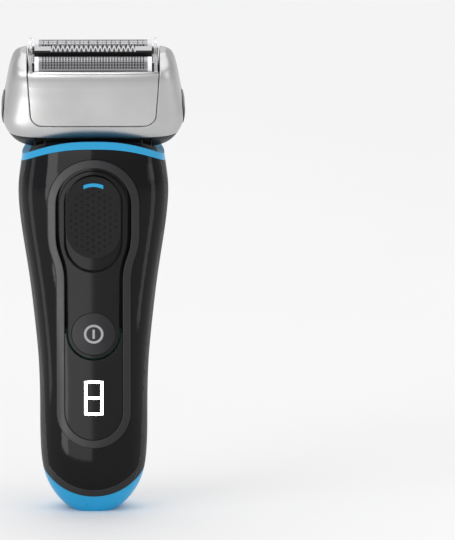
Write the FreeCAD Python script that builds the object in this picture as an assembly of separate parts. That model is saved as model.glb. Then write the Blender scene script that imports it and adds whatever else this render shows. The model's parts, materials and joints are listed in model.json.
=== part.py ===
import FreeCAD, Part
import math
import os

# Electric foil shaver, wet and dry, standing upright on the flat foot of its handle.
# Millimetres. +Z is up, the front faces -Y, and the origin is the centre of the foot.
# The head is modelled upright around its own pivot and then leaned forward by seat().

# ---- driving dimensions: handle ----
HANDLE_HALF_WIDTH = 25.0      # at the shoulders, below the head
GRIP_HALF_WIDTH = 17.75       # at the waist
HANDLE_FRONT = 15.0           # depth from the axis to the front, at the shoulders
HANDLE_REAR = 15.0            # depth from the axis to the back, at the shoulders
HANDLE_TOP = 131.0            # top of the blank that the saddle is cut from
FOOT_RISE = 22.0              # vertical half-axis of the rounded lower end
FOOT_CUT = 20.0               # height of the centre of that rounding over the foot
SECTION_POWER = 2.6           # squareness of the handle's plan section
SHELL_WALL = 2.0
SEAM_Y = -6.5                 # plane where front and rear housings meet
FIT = 0.05                    # gap between pieces that are clipped or glued together
RUN = 0.25                    # gap around pieces that move

# ---- driving dimensions: neck and pivot ----
PIVOT_Z = 141.0
SADDLE_RADIUS = 19.2
NECK_RING_HEIGHT = 2.4
NECK_RING_WALL = 2.5
DRUM_RADIUS = 18.3
DRUM_HALF_WIDTH = 15.8
ARM_INNER, ARM_OUTER = 16.5, 19.4
ARM_HALF_DEPTH = 3.2
PIVOT_PIN_RADIUS = 1.5
HEAD_LEAN = 13.0              # degrees that the head leans forward at rest
HEAD_SWING = 20.0             # degrees that it tilts either way from there

# ---- driving dimensions: base ----
CAP_ARC_RADIUS, CAP_ARC_Z = 21.0, 26.5       # upper edge of the blue base cap
TRIM_ARC_RADIUS, TRIM_ARC_Z = 18.1, 25.9     # upper edge of the grey base trim
CAP_FLOOR = 2.6
SOCKET_WIDTH, SOCKET_DEPTH, SOCKET_HEIGHT = 7.2, 4.4, 10.0
SOCKET_WALL, SOCKET_Y = 0.6, 3.7            # the inlet opens in the rear half of the foot

# ---- driving dimensions: control panel ----
BEZEL_TOP_RADIUS, BEZEL_TOP_Z = 15.4, 106.6
BEZEL_STEM, BEZEL_BOTTOM = 12.5, 22.6
BEZEL_BAND = 2.7
BEZEL_PROUD = 0.4
GROOVE = 1.3                  # gap between bezel and switch plate
PANEL_WALL = 1.6
PLATE_WALL = 3.0
PAD_HALF_WIDTH, PAD_TOP, PAD_BOTTOM = 9.1, 116.3, 88.4
SWITCH_TRAVEL = 4.0
BUTTON_Z, BUTTON_RADIUS, BUTTON_TRAVEL = 62.4, 7.3, 0.5
WINDOW_MOAT = 0.7             # dark gap between the switch plate's round end and the window
BUTTON_WALL = 2.2
ICON_RADIUS, ICON_STROKE, ICON_DEPTH = 3.28, 0.8, 0.35
MICRO_SWITCH_DEPTH = 1.6
PAD_GAP = 0.8                 # free gap round the pad inside its recess
PAD_FACE, PAD_BACK, PAD_FLOOR = 0.5, 1.9, 2.2   # depths below the handle's surface
STEM_HALF_WIDTH, STEM_BOTTOM, STEM_TOP = 3.0, 102.0, 110.0
MARKER_Z, MARKER_ARC, MARKER_HALF_WIDTH = 113.4, 8.0, 3.3
DIGIT_Z, DIGIT_WIDTH, DIGIT_HEIGHT, DIGIT_STROKE = 40.1, 6.3, 12.1, 0.9

# ---- driving dimensions: inside the handle ----
CHASSIS_FRONT, CHASSIS_BACK = -5.5, -4.0
BOARD_FRONT, BOARD_BACK = -8.2, -7.0
BOARD_HALF_WIDTH, BOARD_BOTTOM, BOARD_TOP = 9.4, 27.0, 80.0
BATTERY_RADIUS, BATTERY_Y = 6.9, 3.4
BATTERY_BOTTOM, BATTERY_TOP = 24.0, 74.0
SLIDER_FRONT, SLIDER_BACK, SLIDER_HALF_WIDTH = -11.6, -10.6, 5.0
ROCKER_Y, ROCKER_Z = -3.0, 108.0      # fulcrum of the lever between switch and bolt
ROCKER_FRONT_ARM, ROCKER_BACK_ARM = 5.0, 2.5
ROCKER_HALF_WIDTH, ROCKER_PIN_RADIUS = 1.0, 0.7
ROCKER_DROP = SWITCH_TRAVEL / 2       # height of the front arm's end over the fulcrum at rest
BOLT_HALF_WIDTH, BOLT_HALF_DEPTH = 3.5, 1.3
BOLT_TOP = 121.9
CHASSIS_BOTTOM, CHASSIS_TOP, ARM_BOTTOM = 14.0, 116.5, 96.0
ROCKER_WINDOW_LOW, ROCKER_WINDOW_HIGH = 102.0, 114.0
BOLT_FORK_TOP, BOLT_GUIDE_LOW, BOLT_GUIDE_HIGH = 114.5, 113.0, 118.0
BUSH_RADIUS, ARM_EYE_RADIUS = 2.6, 3.5
POST_FRONT, POST_RADIUS, SCREW_RADIUS, SCREW_DEPTH = 1.5, 2.3, 0.9, 6.0
POSTS = [(-12.0, 84.0), (12.0, 84.0), (-10.2, 22.0), (10.2, 22.0)]
CONTACT_X, CONTACT_Z, CONTACT_RADIUS = 4.0, 16.0, 1.5
SOCKET_RECESS, SOCKET_PIN_LOW, SOCKET_PIN_X, SOCKET_PIN_RADIUS = 1.0, 5.2, 1.7, 0.6
HAIR_BAY_HALF_WIDTH, HAIR_BAY_FLOOR, HAIR_BAY_BOTTOM = 11.0, 12.2, 80.0
HAIR_TOP, HAIR_BLADE_HALF_WIDTH = 117.0, 9.8
LINER_INNER, LINER_HALF_DEPTH = 16.9, 12.0   # liners beside the drum
SADDLE_WALL = 1.6

# ---- driving dimensions: head, in its own upright frame (pivot at 0, 0, 0) ----
HEAD_WALL = 1.8
HEAD_SECTION_POWER = 4.6
BAND_BOTTOM = -9.7            # lower edge of the silver frame
BAY_HALF_WIDTH = 22.2         # opening between the cheeks
CASSETTE_HALF_WIDTH = 21.9
CASSETTE_BOTTOM, CASSETTE_TOP = -4.9, 12.9
PANEL_CORNER = 4.0
DECK_TOP = 3.6                # top of the motor deck, under the cassette
FOIL_RADIUS, FOIL_PITCH, FOIL_SPRING_Z = 3.4, 14.0, 13.9
FOIL_WALL = 0.25
FOIL_HALF_LENGTH = 18.2
FOIL_FRAME_HALF_LENGTH = 21.4
FOIL_FLOAT = 1.5
CASSETTE_TAPER = 1.0          # how much narrower the cassette is at its lower corners
CHEEK_WALL = 1.2
BUTTON_LENS_TOP, BUTTON_LENS_BOTTOM, BUTTON_LENS_HALF_DEPTH = 1.3, -9.0, 7.5
BUTTON_PROUD, RELEASE_TRAVEL = 0.2, 0.8
LATCH_Z, LATCH_HALF_DEPTH = 5.7, 2.5
HOOK_TIP = 21.9               # inner end of the hook on each release button
BUTTON_ARM_X = 24.5
MOTOR_HALF_WIDTH, MOTOR_HALF_DEPTH, MOTOR_BOTTOM = 15.4, 8.4, -12.0
DRIVE_PIN_Y, DRIVE_PIN_RADIUS, DRIVE_PIN_TOP = 6.2, 0.8, 10.9
FLANGE = 0.6
MOTOR_SCREW_X, MOTOR_SCREW_Y = 12.0, 9.15
CORE_HALF_WIDTH, CORE_HALF_DEPTH, CORE_HEIGHT, COIL_BUILD = 9.0, 5.0, 7.5, 2.6
LEDGE_HALF_DEPTH, MOTOR_SCREW_RADIUS = 9.8, 0.6
CASSETTE_PANEL_WALL, TRAY_HALF_DEPTH, TRAY_HALF_WIDTH, TRAY_STEP = 1.2, 9.3, 19.7, 10.5
CLIP_CENTRE, CLIP_END, SPRING_HEIGHT = 18.9, 19.6, 5.0
FOIL_FOOT = 12.4              # lower edge of the foils and their clips
BLADE_HALF_LENGTH, BLADE_PITCH, BLADE_WALL, CARRIER_BOTTOM = 16.6, 1.5, 0.5, 9.6
GUARD_HALF_LENGTH, GUARD_HALF_DEPTH, GUARD_BOTTOM = 19.6, 2.4, 9.2
BAR_HALF_DEPTH, COMB_WALL = 1.7, 0.35
LINK_BOTTOM, LINK_WALL = 7.2, 0.7
DRUM_EDGE = -11.5             # the drum lies below this height
DRUM_FRONT, DRUM_REAR = 13.0, 11.5
BAND_SLOT = 11.0              # the arm slots in the underside stop this far under the pivot
NOTCH_TOP = -16.8
TRIMMER_TOP = 17.4
TRIMMER_HALF_DEPTH = 2.7
TOOTH_PITCH = 1.56
CUT_STROKE = 1.0

V = FreeCAD.Vector
X, Y, Z = V(1, 0, 0), V(0, 1, 0), V(0, 0, 1)
BIG = 200.0


# ---- helpers ----
def box(x0, x1, y0, y1, z0, z1):
    return Part.makeBox(x1 - x0, y1 - y0, z1 - z0, V(x0, y0, z0))


def rod(start, axis, radius, length):
    return Part.makeCylinder(radius, length, start, axis)


def tube(start, axis, outer, inner, length):
    return rod(start, axis, outer, length).cut(rod(start, axis, inner, length))


def below(z):
    return box(-BIG, BIG, -BIG, BIG, -BIG, z)


def above(z):
    return box(-BIG, BIG, -BIG, BIG, z, BIG)


def front_of(y):
    return box(-BIG, BIG, -BIG, y, -BIG, BIG)


def behind(y):
    return box(-BIG, BIG, y, BIG, -BIG, BIG)


def within(half_width):
    return box(-half_width, half_width, -BIG, BIG, -BIG, BIG)


def mirror_x(shape):
    return shape.mirror(V(0, 0, 0), X)


def both_sides(shape):
    return [shape, mirror_x(shape)]


def fuse(shapes):
    joined = shapes[0]
    for shape in shapes[1:]:
        joined = joined.fuse(shape)
    return joined


def cut(shape, *tools):
    for tool in tools:
        shape = shape.cut(tool)
    return shape


def across_x(points, x0, x1):
    """Prism of a closed outline of (y, z) corners, running along X."""
    outline = Part.makePolygon([V(x0, y, z) for y, z in points + points[:1]])
    return Part.Face(outline).extrude(V(x1 - x0, 0, 0))


def superellipse(half_width, front, rear, z, power):
    """Closed smooth plan outline at one height; front is negative and rear positive."""
    middle, half_depth = (front + rear) / 2, (rear - front) / 2
    points = []
    for step in range(32):
        turn = 2 * math.pi * step / 32
        c, s = math.cos(turn), math.sin(turn)
        x = half_width * math.copysign(abs(c) ** (2 / power), c)
        y = middle + half_depth * math.copysign(abs(s) ** (2 / power), s)
        points.append(V(x, y, z))
    curve = Part.BSplineCurve()
    curve.interpolate(Points=points, PeriodicFlag=True)
    return Part.Wire([curve.toShape()])


def along(stations, z, column):
    """Value of one column of a station list at height z, with rounded transitions."""
    last = len(stations) - 1
    if z <= stations[0][0]:
        return stations[0][column]
    if z >= stations[last][0]:
        return stations[last][column]
    i = max(k for k in range(last) if stations[k][0] <= z)
    z0, z1 = stations[i][0], stations[i + 1][0]
    v0, v1 = stations[i][column], stations[i + 1][column]

    def slope(k):
        if k in (0, last):
            return 0.0
        before = (stations[k][column] - stations[k - 1][column]) / (stations[k][0] - stations[k - 1][0])
        after = (stations[k + 1][column] - stations[k][column]) / (stations[k + 1][0] - stations[k][0])
        return 0.0 if before * after <= 0 else 2 * before * after / (before + after)

    t, span = (z - z0) / (z1 - z0), z1 - z0
    rise = (2 * t ** 3 - 3 * t ** 2 + 1) * v0 + (3 * t ** 2 - 2 * t ** 3) * v1
    lean = (t ** 3 - 2 * t ** 2 + t) * slope(i) + (t ** 3 - t ** 2) * slope(i + 1)
    return rise + lean * span


# ---- outer surfaces ----
def foot_width(z):
    """Half-width of the rounded lower end."""
    return GRIP_HALF_WIDTH * math.sqrt(1 - ((FOOT_CUT - z) / FOOT_RISE) ** 2)


# height, half-width, front, rear
HANDLE_STATIONS = [
    (0.0, foot_width(0), -7.0, 7.0),
    (2.5, foot_width(2.5), -8.2, 9.0),
    (6.0, foot_width(6), -9.4, 10.7),
    (11.0, foot_width(11), -10.4, 12.0),
    (20.0, GRIP_HALF_WIDTH, -11.2, 13.0),
    (36.0, GRIP_HALF_WIDTH + 0.3, -12.2, 13.4),
    (52.0, GRIP_HALF_WIDTH + 0.8, -13.4, 13.6),
    (66.0, GRIP_HALF_WIDTH + 2.1, -14.4, 13.9),
    (78.0, GRIP_HALF_WIDTH + 3.5, -HANDLE_FRONT, 14.3),
    (90.0, HANDLE_HALF_WIDTH - 1.95, -HANDLE_FRONT, 14.8),
    (103.0, HANDLE_HALF_WIDTH - 0.2, -HANDLE_FRONT, HANDLE_REAR),
    (112.0, HANDLE_HALF_WIDTH, -HANDLE_FRONT, HANDLE_REAR),
    (HANDLE_TOP, HANDLE_HALF_WIDTH, -HANDLE_FRONT, HANDLE_REAR),
]

# height over the pivot, half-width, half-depth
HEAD_STATIONS = [
    (-15.9, 21.0, 6.2),
    (-15.0, 24.2, 8.2),
    (-13.2, 26.5, 10.2),
    (-10.9, 28.2, 12.2),
    (-8.0, 29.7, 13.6),
    (-4.2, 30.5, 14.1),
    (0.0, 29.8, 14.0),
    (4.7, 28.9, 13.8),
    (8.6, 28.2, 13.3),
    (12.9, 27.0, 12.2),
    (15.0, 25.9, 8.6),
    (16.2, 24.9, 5.8),
    (16.8, 24.1, 3.8),
]


def handle_blank(inset, bottom=0.0):
    """Solid of the handle's outer shape, shrunk by inset (or grown, if negative)."""
    levels = [s[0] for s in HANDLE_STATIONS if s[0] > bottom + 0.8]
    outlines = []
    for z in [bottom] + levels:
        width, front, rear = (along(HANDLE_STATIONS, z, column) for column in (1, 2, 3))
        outlines.append(superellipse(width - inset, front + inset, rear - inset, z, SECTION_POWER))
    return Part.makeLoft(outlines, True, False)


def head_blank(inset):
    """Solid of the head's outer shape, shrunk by inset."""
    outlines = []
    for z, width, depth in HEAD_STATIONS:
        height = max(HEAD_STATIONS[0][0] + inset, min(HEAD_STATIONS[-1][0] - inset, z))
        if outlines and height <= last + 0.05:
            continue
        last = height
        half_width = along(HEAD_STATIONS, height, 1) - inset
        half_depth = along(HEAD_STATIONS, height, 2) - inset
        outlines.append(superellipse(half_width, -half_depth, half_depth, height, HEAD_SECTION_POWER))
    return Part.makeLoft(outlines, True, False)


def trough(centre_z, radius=SADDLE_RADIUS):
    """Round-bottomed trough along X that the head swings in, with all the space above it."""
    bar = rod(V(-BIG / 2, 0, centre_z), X, radius, BIG)
    return bar.fuse(box(-BIG / 2, BIG / 2, -radius, radius, centre_z, BIG))


def seat(shape):
    """Lean a head piece forward and lift it to the pivot."""
    placed = shape.copy()
    placed.rotate(V(0, 0, 0), X, HEAD_LEAN)
    placed.translate(V(0, 0, PIVOT_Z))
    return placed


parts = {}
skin = {inset: handle_blank(inset) for inset in (0.0, -BEZEL_PROUD)}
INNER = SHELL_WALL
skin[PANEL_WALL] = handle_blank(PANEL_WALL, CAP_FLOOR)
skin[INNER] = handle_blank(INNER, CAP_FLOOR)
for depth in (PLATE_WALL, PAD_FACE, PAD_BACK, PAD_FLOOR, PAD_FACE + 0.5, BUTTON_WALL, ICON_DEPTH):
    skin[depth] = handle_blank(depth, CAP_FLOOR)
shell = skin[0.0].cut(skin[INNER])


# ---- outlines on the front of the handle, as prisms along Y ----
def keyhole(inset, top=HANDLE_TOP):
    """Prism of the bezel's keyhole outline, shrunk by inset all round."""
    radius, stem = BEZEL_TOP_RADIUS - inset, BEZEL_STEM - inset
    low = BEZEL_BOTTOM + inset + stem
    neck_top, neck_low = BEZEL_TOP_Z - 9.5, BEZEL_TOP_Z - 26.5
    middle = (neck_top + neck_low) / 2

    def point(x, z):
        return V(x, -BIG / 4, z)

    def waist(side):
        curve = Part.BezierCurve()
        curve.setPoles([point(side * radius, neck_top), point(side * radius, middle),
                        point(side * stem, middle), point(side * stem, neck_low)])
        return curve.toShape()

    centre = BEZEL_TOP_Z
    edges = [
        Part.Arc(point(-radius, centre), point(0, centre + radius), point(radius, centre)).toShape(),
        Part.makeLine(point(radius, centre), point(radius, neck_top)),
        waist(1),
        Part.makeLine(point(stem, neck_low), point(stem, low)),
        Part.Arc(point(stem, low), point(0, low - stem), point(-stem, low)).toShape(),
        Part.makeLine(point(-stem, low), point(-stem, neck_low)),
        waist(-1),
        Part.makeLine(point(-radius, neck_top), point(-radius, centre)),
    ]
    outline = Part.Wire(Part.__sortEdges__(edges))
    return Part.Face(outline).extrude(V(0, BIG / 4, 0)).common(below(top))


def oval(half_width, z0, z1, y0=-BIG / 4, y1=0.0):
    """Prism along Y of an upright oval with round ends."""
    low, high = z0 + half_width, z1 - half_width
    ends = [rod(V(0, y0, z), Y, half_width, y1 - y0) for z in (low, high)]
    return fuse([box(-half_width, half_width, y0, y1, low, high)] + ends)


# ---- handle shells ----
cap_arc = rod(V(0, -BIG / 4, CAP_ARC_Z), Y, CAP_ARC_RADIUS, BIG / 2).fuse(above(CAP_ARC_Z))
trim_arc = rod(V(0, -BIG / 4, TRIM_ARC_Z), Y, TRIM_ARC_RADIUS, BIG / 2).fuse(above(TRIM_ARC_Z))
ring_trough = trough(PIVOT_Z - NECK_RING_HEIGHT)
head_trough = trough(PIVOT_Z)


def housings():
    trunk = cut(shell, ring_trough)
    front = trunk.common(front_of(SEAM_Y)).common(trim_arc)
    parts["front_housing"] = cut(front, keyhole(0.0))
    parts["base_trim"] = cut(trunk.common(front_of(SEAM_Y)).common(cap_arc), trim_arc)
    rear = trunk.common(behind(SEAM_Y + FIT)).common(cap_arc)
    bay = box(-HAIR_BAY_HALF_WIDTH, HAIR_BAY_HALF_WIDTH, HAIR_BAY_FLOOR, BIG, HAIR_BAY_BOTTOM, BIG)
    posts = fuse([rod(V(x, POST_FRONT, z), Y, POST_RADIUS, BIG / 8) for x, z in POSTS])
    posts = posts.common(skin[PANEL_WALL])
    holes = [rod(V(x, POST_FRONT - 1, z), Y, SCREW_RADIUS, SCREW_DEPTH + 1) for x, z in POSTS]
    contacts = [rod(V(x, 5, CONTACT_Z), Y, CONTACT_RADIUS, BIG / 8) for x in (-CONTACT_X, CONTACT_X)]
    floor = cut(skin[INNER].common(behind(HAIR_BAY_FLOOR - 1.2)), ring_trough)
    floor = floor.common(box(-HAIR_BAY_HALF_WIDTH - 1.2, HAIR_BAY_HALF_WIDTH + 1.2, 0, BIG,
                             HAIR_BAY_BOTTOM - 1.2, BIG))
    parts["rear_housing"] = cut(fuse([rear, posts, floor]), bay, *holes, *contacts)


def neck_ring():
    ring = cut(skin[0.0].common(ring_trough), head_trough, handle_blank(NECK_RING_WALL))
    bay = box(-HAIR_BAY_HALF_WIDTH, HAIR_BAY_HALF_WIDTH, HAIR_BAY_FLOOR, BIG, HAIR_BAY_BOTTOM, BIG)
    parts["neck_ring"] = ring.cut(bay)


def saddle_plate():
    """Black floor of the saddle, with a raised liner beside the drum for each yoke arm."""
    blank = handle_blank(NECK_RING_WALL + FIT)
    liner = box(DRUM_HALF_WIDTH + RUN, ARM_OUTER + RUN, -LINER_HALF_DEPTH, LINER_HALF_DEPTH,
                PIVOT_Z - 30, PIVOT_Z - 9)
    liner = liner.cut(rod(V(-BIG, 0, PIVOT_Z), X, LINER_INNER, 2 * BIG))
    hollow = head_trough.cut(Part.makeCompound(both_sides(liner)))
    plate = cut(blank.common(trough(PIVOT_Z - SADDLE_WALL)), hollow)
    arm = box(ARM_INNER - FIT, ARM_OUTER + FIT, -ARM_HALF_DEPTH - FIT, ARM_HALF_DEPTH + FIT, 90, BIG)
    bolt = box(-BOLT_HALF_WIDTH - RUN, BOLT_HALF_WIDTH + RUN, -BOLT_HALF_DEPTH - RUN,
               BOLT_HALF_DEPTH + RUN, 90, BIG)
    bay = box(-HAIR_BAY_HALF_WIDTH - 1.2, HAIR_BAY_HALF_WIDTH + 1.2, HAIR_BAY_FLOOR - 1.2 - FIT, BIG,
              HAIR_BAY_BOTTOM - 2, BIG)
    parts["saddle_plate"] = cut(plate, *both_sides(arm), bolt, bay)


def base():
    """Blue cap with the flat foot, and the power inlet that opens through it."""
    cap = cut(skin[0.0], cap_arc)
    hollow = skin[INNER].common(above(CAP_FLOOR))
    well = box(-SOCKET_WIDTH / 2 - SOCKET_WALL, SOCKET_WIDTH / 2 + SOCKET_WALL,
               SOCKET_Y - SOCKET_DEPTH / 2 - SOCKET_WALL, SOCKET_Y + SOCKET_DEPTH / 2 + SOCKET_WALL,
               -1, SOCKET_HEIGHT + SOCKET_WALL)
    parts["base_cap"] = cut(cap, hollow, well)
    inner = box(-SOCKET_WIDTH / 2, SOCKET_WIDTH / 2, SOCKET_Y - SOCKET_DEPTH / 2,
                SOCKET_Y + SOCKET_DEPTH / 2, -2, SOCKET_HEIGHT)
    body = well.common(above(SOCKET_RECESS)).cut(inner)
    pins = [V(x, SOCKET_Y, SOCKET_PIN_LOW) for x in (-SOCKET_PIN_X, SOCKET_PIN_X)]
    drilled = cut(body, *[rod(p, Z, SOCKET_PIN_RADIUS, 20) for p in pins])
    parts["power_socket"] = drilled
    parts["charging_contacts"] = Part.makeCompound([rod(p, Z, SOCKET_PIN_RADIUS, 11) for p in pins])


def front_panel():
    """Bezel, switch plate and display window, all following the curve of the front."""
    half = front_of(0)
    bezel = cut(skin[-BEZEL_PROUD], skin[INNER]).common(half).common(keyhole(FIT))
    parts["control_bezel"] = cut(bezel, keyhole(BEZEL_BAND))

    round_end = BEZEL_STEM - BEZEL_BAND - GROOVE
    window = cut(skin[0.0], skin[PANEL_WALL]).common(half)
    window = window.common(keyhole(BEZEL_BAND + FIT, BUTTON_Z))
    moat = rod(V(0, -BIG / 4, BUTTON_Z), Y, round_end + WINDOW_MOAT, BIG / 4)
    parts["display_window"] = cut(window, moat, *segment_prisms())

    outline = keyhole(BEZEL_BAND + GROOVE).cut(below(BUTTON_Z))
    outline = outline.fuse(rod(V(0, -BIG / 4, BUTTON_Z), Y, round_end, BIG / 4))
    flange = cut(skin[INNER], skin[PLATE_WALL]).common(keyhole(BEZEL_BAND - 1.0))
    flange = flange.common(above(BUTTON_Z + 1.5))
    plate = fuse([cut(skin[0.0], skin[PLATE_WALL]).common(outline), flange]).common(half)
    recess = oval(PAD_HALF_WIDTH + PAD_GAP, PAD_BOTTOM - SWITCH_TRAVEL - PAD_GAP, PAD_TOP + PAD_GAP)
    slot = box(-STEM_HALF_WIDTH - RUN, STEM_HALF_WIDTH + RUN, -BIG / 4, 0,
               STEM_BOTTOM - SWITCH_TRAVEL - RUN, STEM_TOP + RUN)
    hole = rod(V(0, -BIG / 4, BUTTON_Z), Y, BUTTON_RADIUS + 0.15, BIG / 4)
    parts["switch_plate"] = cut(plate, recess.cut(skin[PAD_FLOOR]), slot, hole)


def segment_prisms():
    """The seven strokes of the digit, as prisms along Y."""
    half_w, half_h, stroke = DIGIT_WIDTH / 2, DIGIT_HEIGHT / 2, DIGIT_STROKE
    gap = 0.15
    bars = [box(-half_w + stroke + gap, half_w - stroke - gap, -BIG / 4, 0, z - stroke / 2, z + stroke / 2)
            for z in (DIGIT_Z - half_h + stroke / 2, DIGIT_Z, DIGIT_Z + half_h - stroke / 2)]
    posts = []
    for x in (-half_w, half_w - stroke):
        posts.append(box(x, x + stroke, -BIG / 4, 0, DIGIT_Z - half_h + gap, DIGIT_Z - gap))
        posts.append(box(x, x + stroke, -BIG / 4, 0, DIGIT_Z + gap, DIGIT_Z + half_h - gap))
    return bars + posts


def display():
    lamps = cut(skin[0.0], skin[PANEL_WALL]).common(front_of(0))
    parts["display_segments"] = Part.makeCompound([lamps.common(bar) for bar in segment_prisms()])


def display_lamp_block():
    block = box(-DIGIT_WIDTH / 2 - 1, DIGIT_WIDTH / 2 + 1, -11, BOARD_FRONT,
                DIGIT_Z - DIGIT_HEIGHT / 2 - 1, DIGIT_Z + DIGIT_HEIGHT / 2 + 1)
    return block.common(skin[PLATE_WALL])


def micro_switch():
    """Small push switch on the board behind the power button."""
    return box(-3, 3, BOARD_FRONT - MICRO_SWITCH_DEPTH, BOARD_FRONT, BUTTON_Z - 3, BUTTON_Z + 3)


def power_button():
    """Round button with its grey power icon."""
    cap = cut(skin[0.0], skin[BUTTON_WALL])
    cap = cap.common(rod(V(0, -BIG / 4, BUTTON_Z), Y, BUTTON_RADIUS, BIG / 4))
    tip = BOARD_FRONT - MICRO_SWITCH_DEPTH - BUTTON_TRAVEL - 0.1
    stem = rod(V(0, -13.5, BUTTON_Z), Y, 1.6, 13.5 + tip)
    ring = cut(rod(V(0, -BIG / 4, BUTTON_Z), Y, ICON_RADIUS, BIG / 4),
               rod(V(0, -BIG / 4, BUTTON_Z), Y, ICON_RADIUS - ICON_STROKE, BIG / 4))
    bar = box(-ICON_STROKE / 2, ICON_STROKE / 2, -BIG / 4, 0, BUTTON_Z - 1.6, BUTTON_Z + 1.6)
    inlay = cut(skin[0.0], skin[ICON_DEPTH]).common(front_of(0))
    icon = Part.makeCompound([inlay.common(ring), inlay.common(bar)])
    parts["power_icon"] = icon
    parts["power_button"] = cut(fuse([cap, stem]), ring.cut(skin[ICON_DEPTH]), bar.cut(skin[ICON_DEPTH]))


def lock_switch():
    """Sliding pad, its blue marker and the slider behind it that works the rocker."""
    pad = cut(skin[PAD_FACE], skin[PAD_BACK]).common(oval(PAD_HALF_WIDTH, PAD_BOTTOM, PAD_TOP))
    arc = cut(rod(V(0, -BIG / 4, MARKER_Z - MARKER_ARC), Y, MARKER_ARC + 0.6, BIG / 4),
              rod(V(0, -BIG / 4, MARKER_Z - MARKER_ARC), Y, MARKER_ARC - 0.6, BIG / 4))
    arc = arc.common(within(MARKER_HALF_WIDTH)).common(above(MARKER_Z - 3))
    marker = cut(skin[PAD_FACE], skin[PAD_FACE + 0.5])
    marker = marker.common(front_of(0)).common(arc)
    parts["lock_marker"] = marker
    stem = box(-STEM_HALF_WIDTH, STEM_HALF_WIDTH, -13.8, SLIDER_FRONT, STEM_BOTTOM, STEM_TOP)
    parts["lock_pad"] = cut(fuse([pad, stem]), marker)
    slider = box(-SLIDER_HALF_WIDTH, SLIDER_HALF_WIDTH, SLIDER_FRONT, SLIDER_BACK, STEM_BOTTOM - 1,
                 ROCKER_Z + ROCKER_DROP + 1.6)
    lugs = [box(x, x + 1.4, SLIDER_BACK, ROCKER_Y - ROCKER_FRONT_ARM + 1.4,
                ROCKER_Z + ROCKER_DROP - 1.6, ROCKER_Z + ROCKER_DROP + 1.6)
            for x in (-ROCKER_HALF_WIDTH - RUN - 1.4, ROCKER_HALF_WIDTH + RUN)]
    pin = rod(V(-ROCKER_HALF_WIDTH - RUN - 1.4, ROCKER_Y - ROCKER_FRONT_ARM, ROCKER_Z + ROCKER_DROP),
              X, ROCKER_PIN_RADIUS, 2 * (ROCKER_HALF_WIDTH + RUN + 1.4))
    parts["lock_slider"] = fuse([slider] + lugs + [pin])


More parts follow.
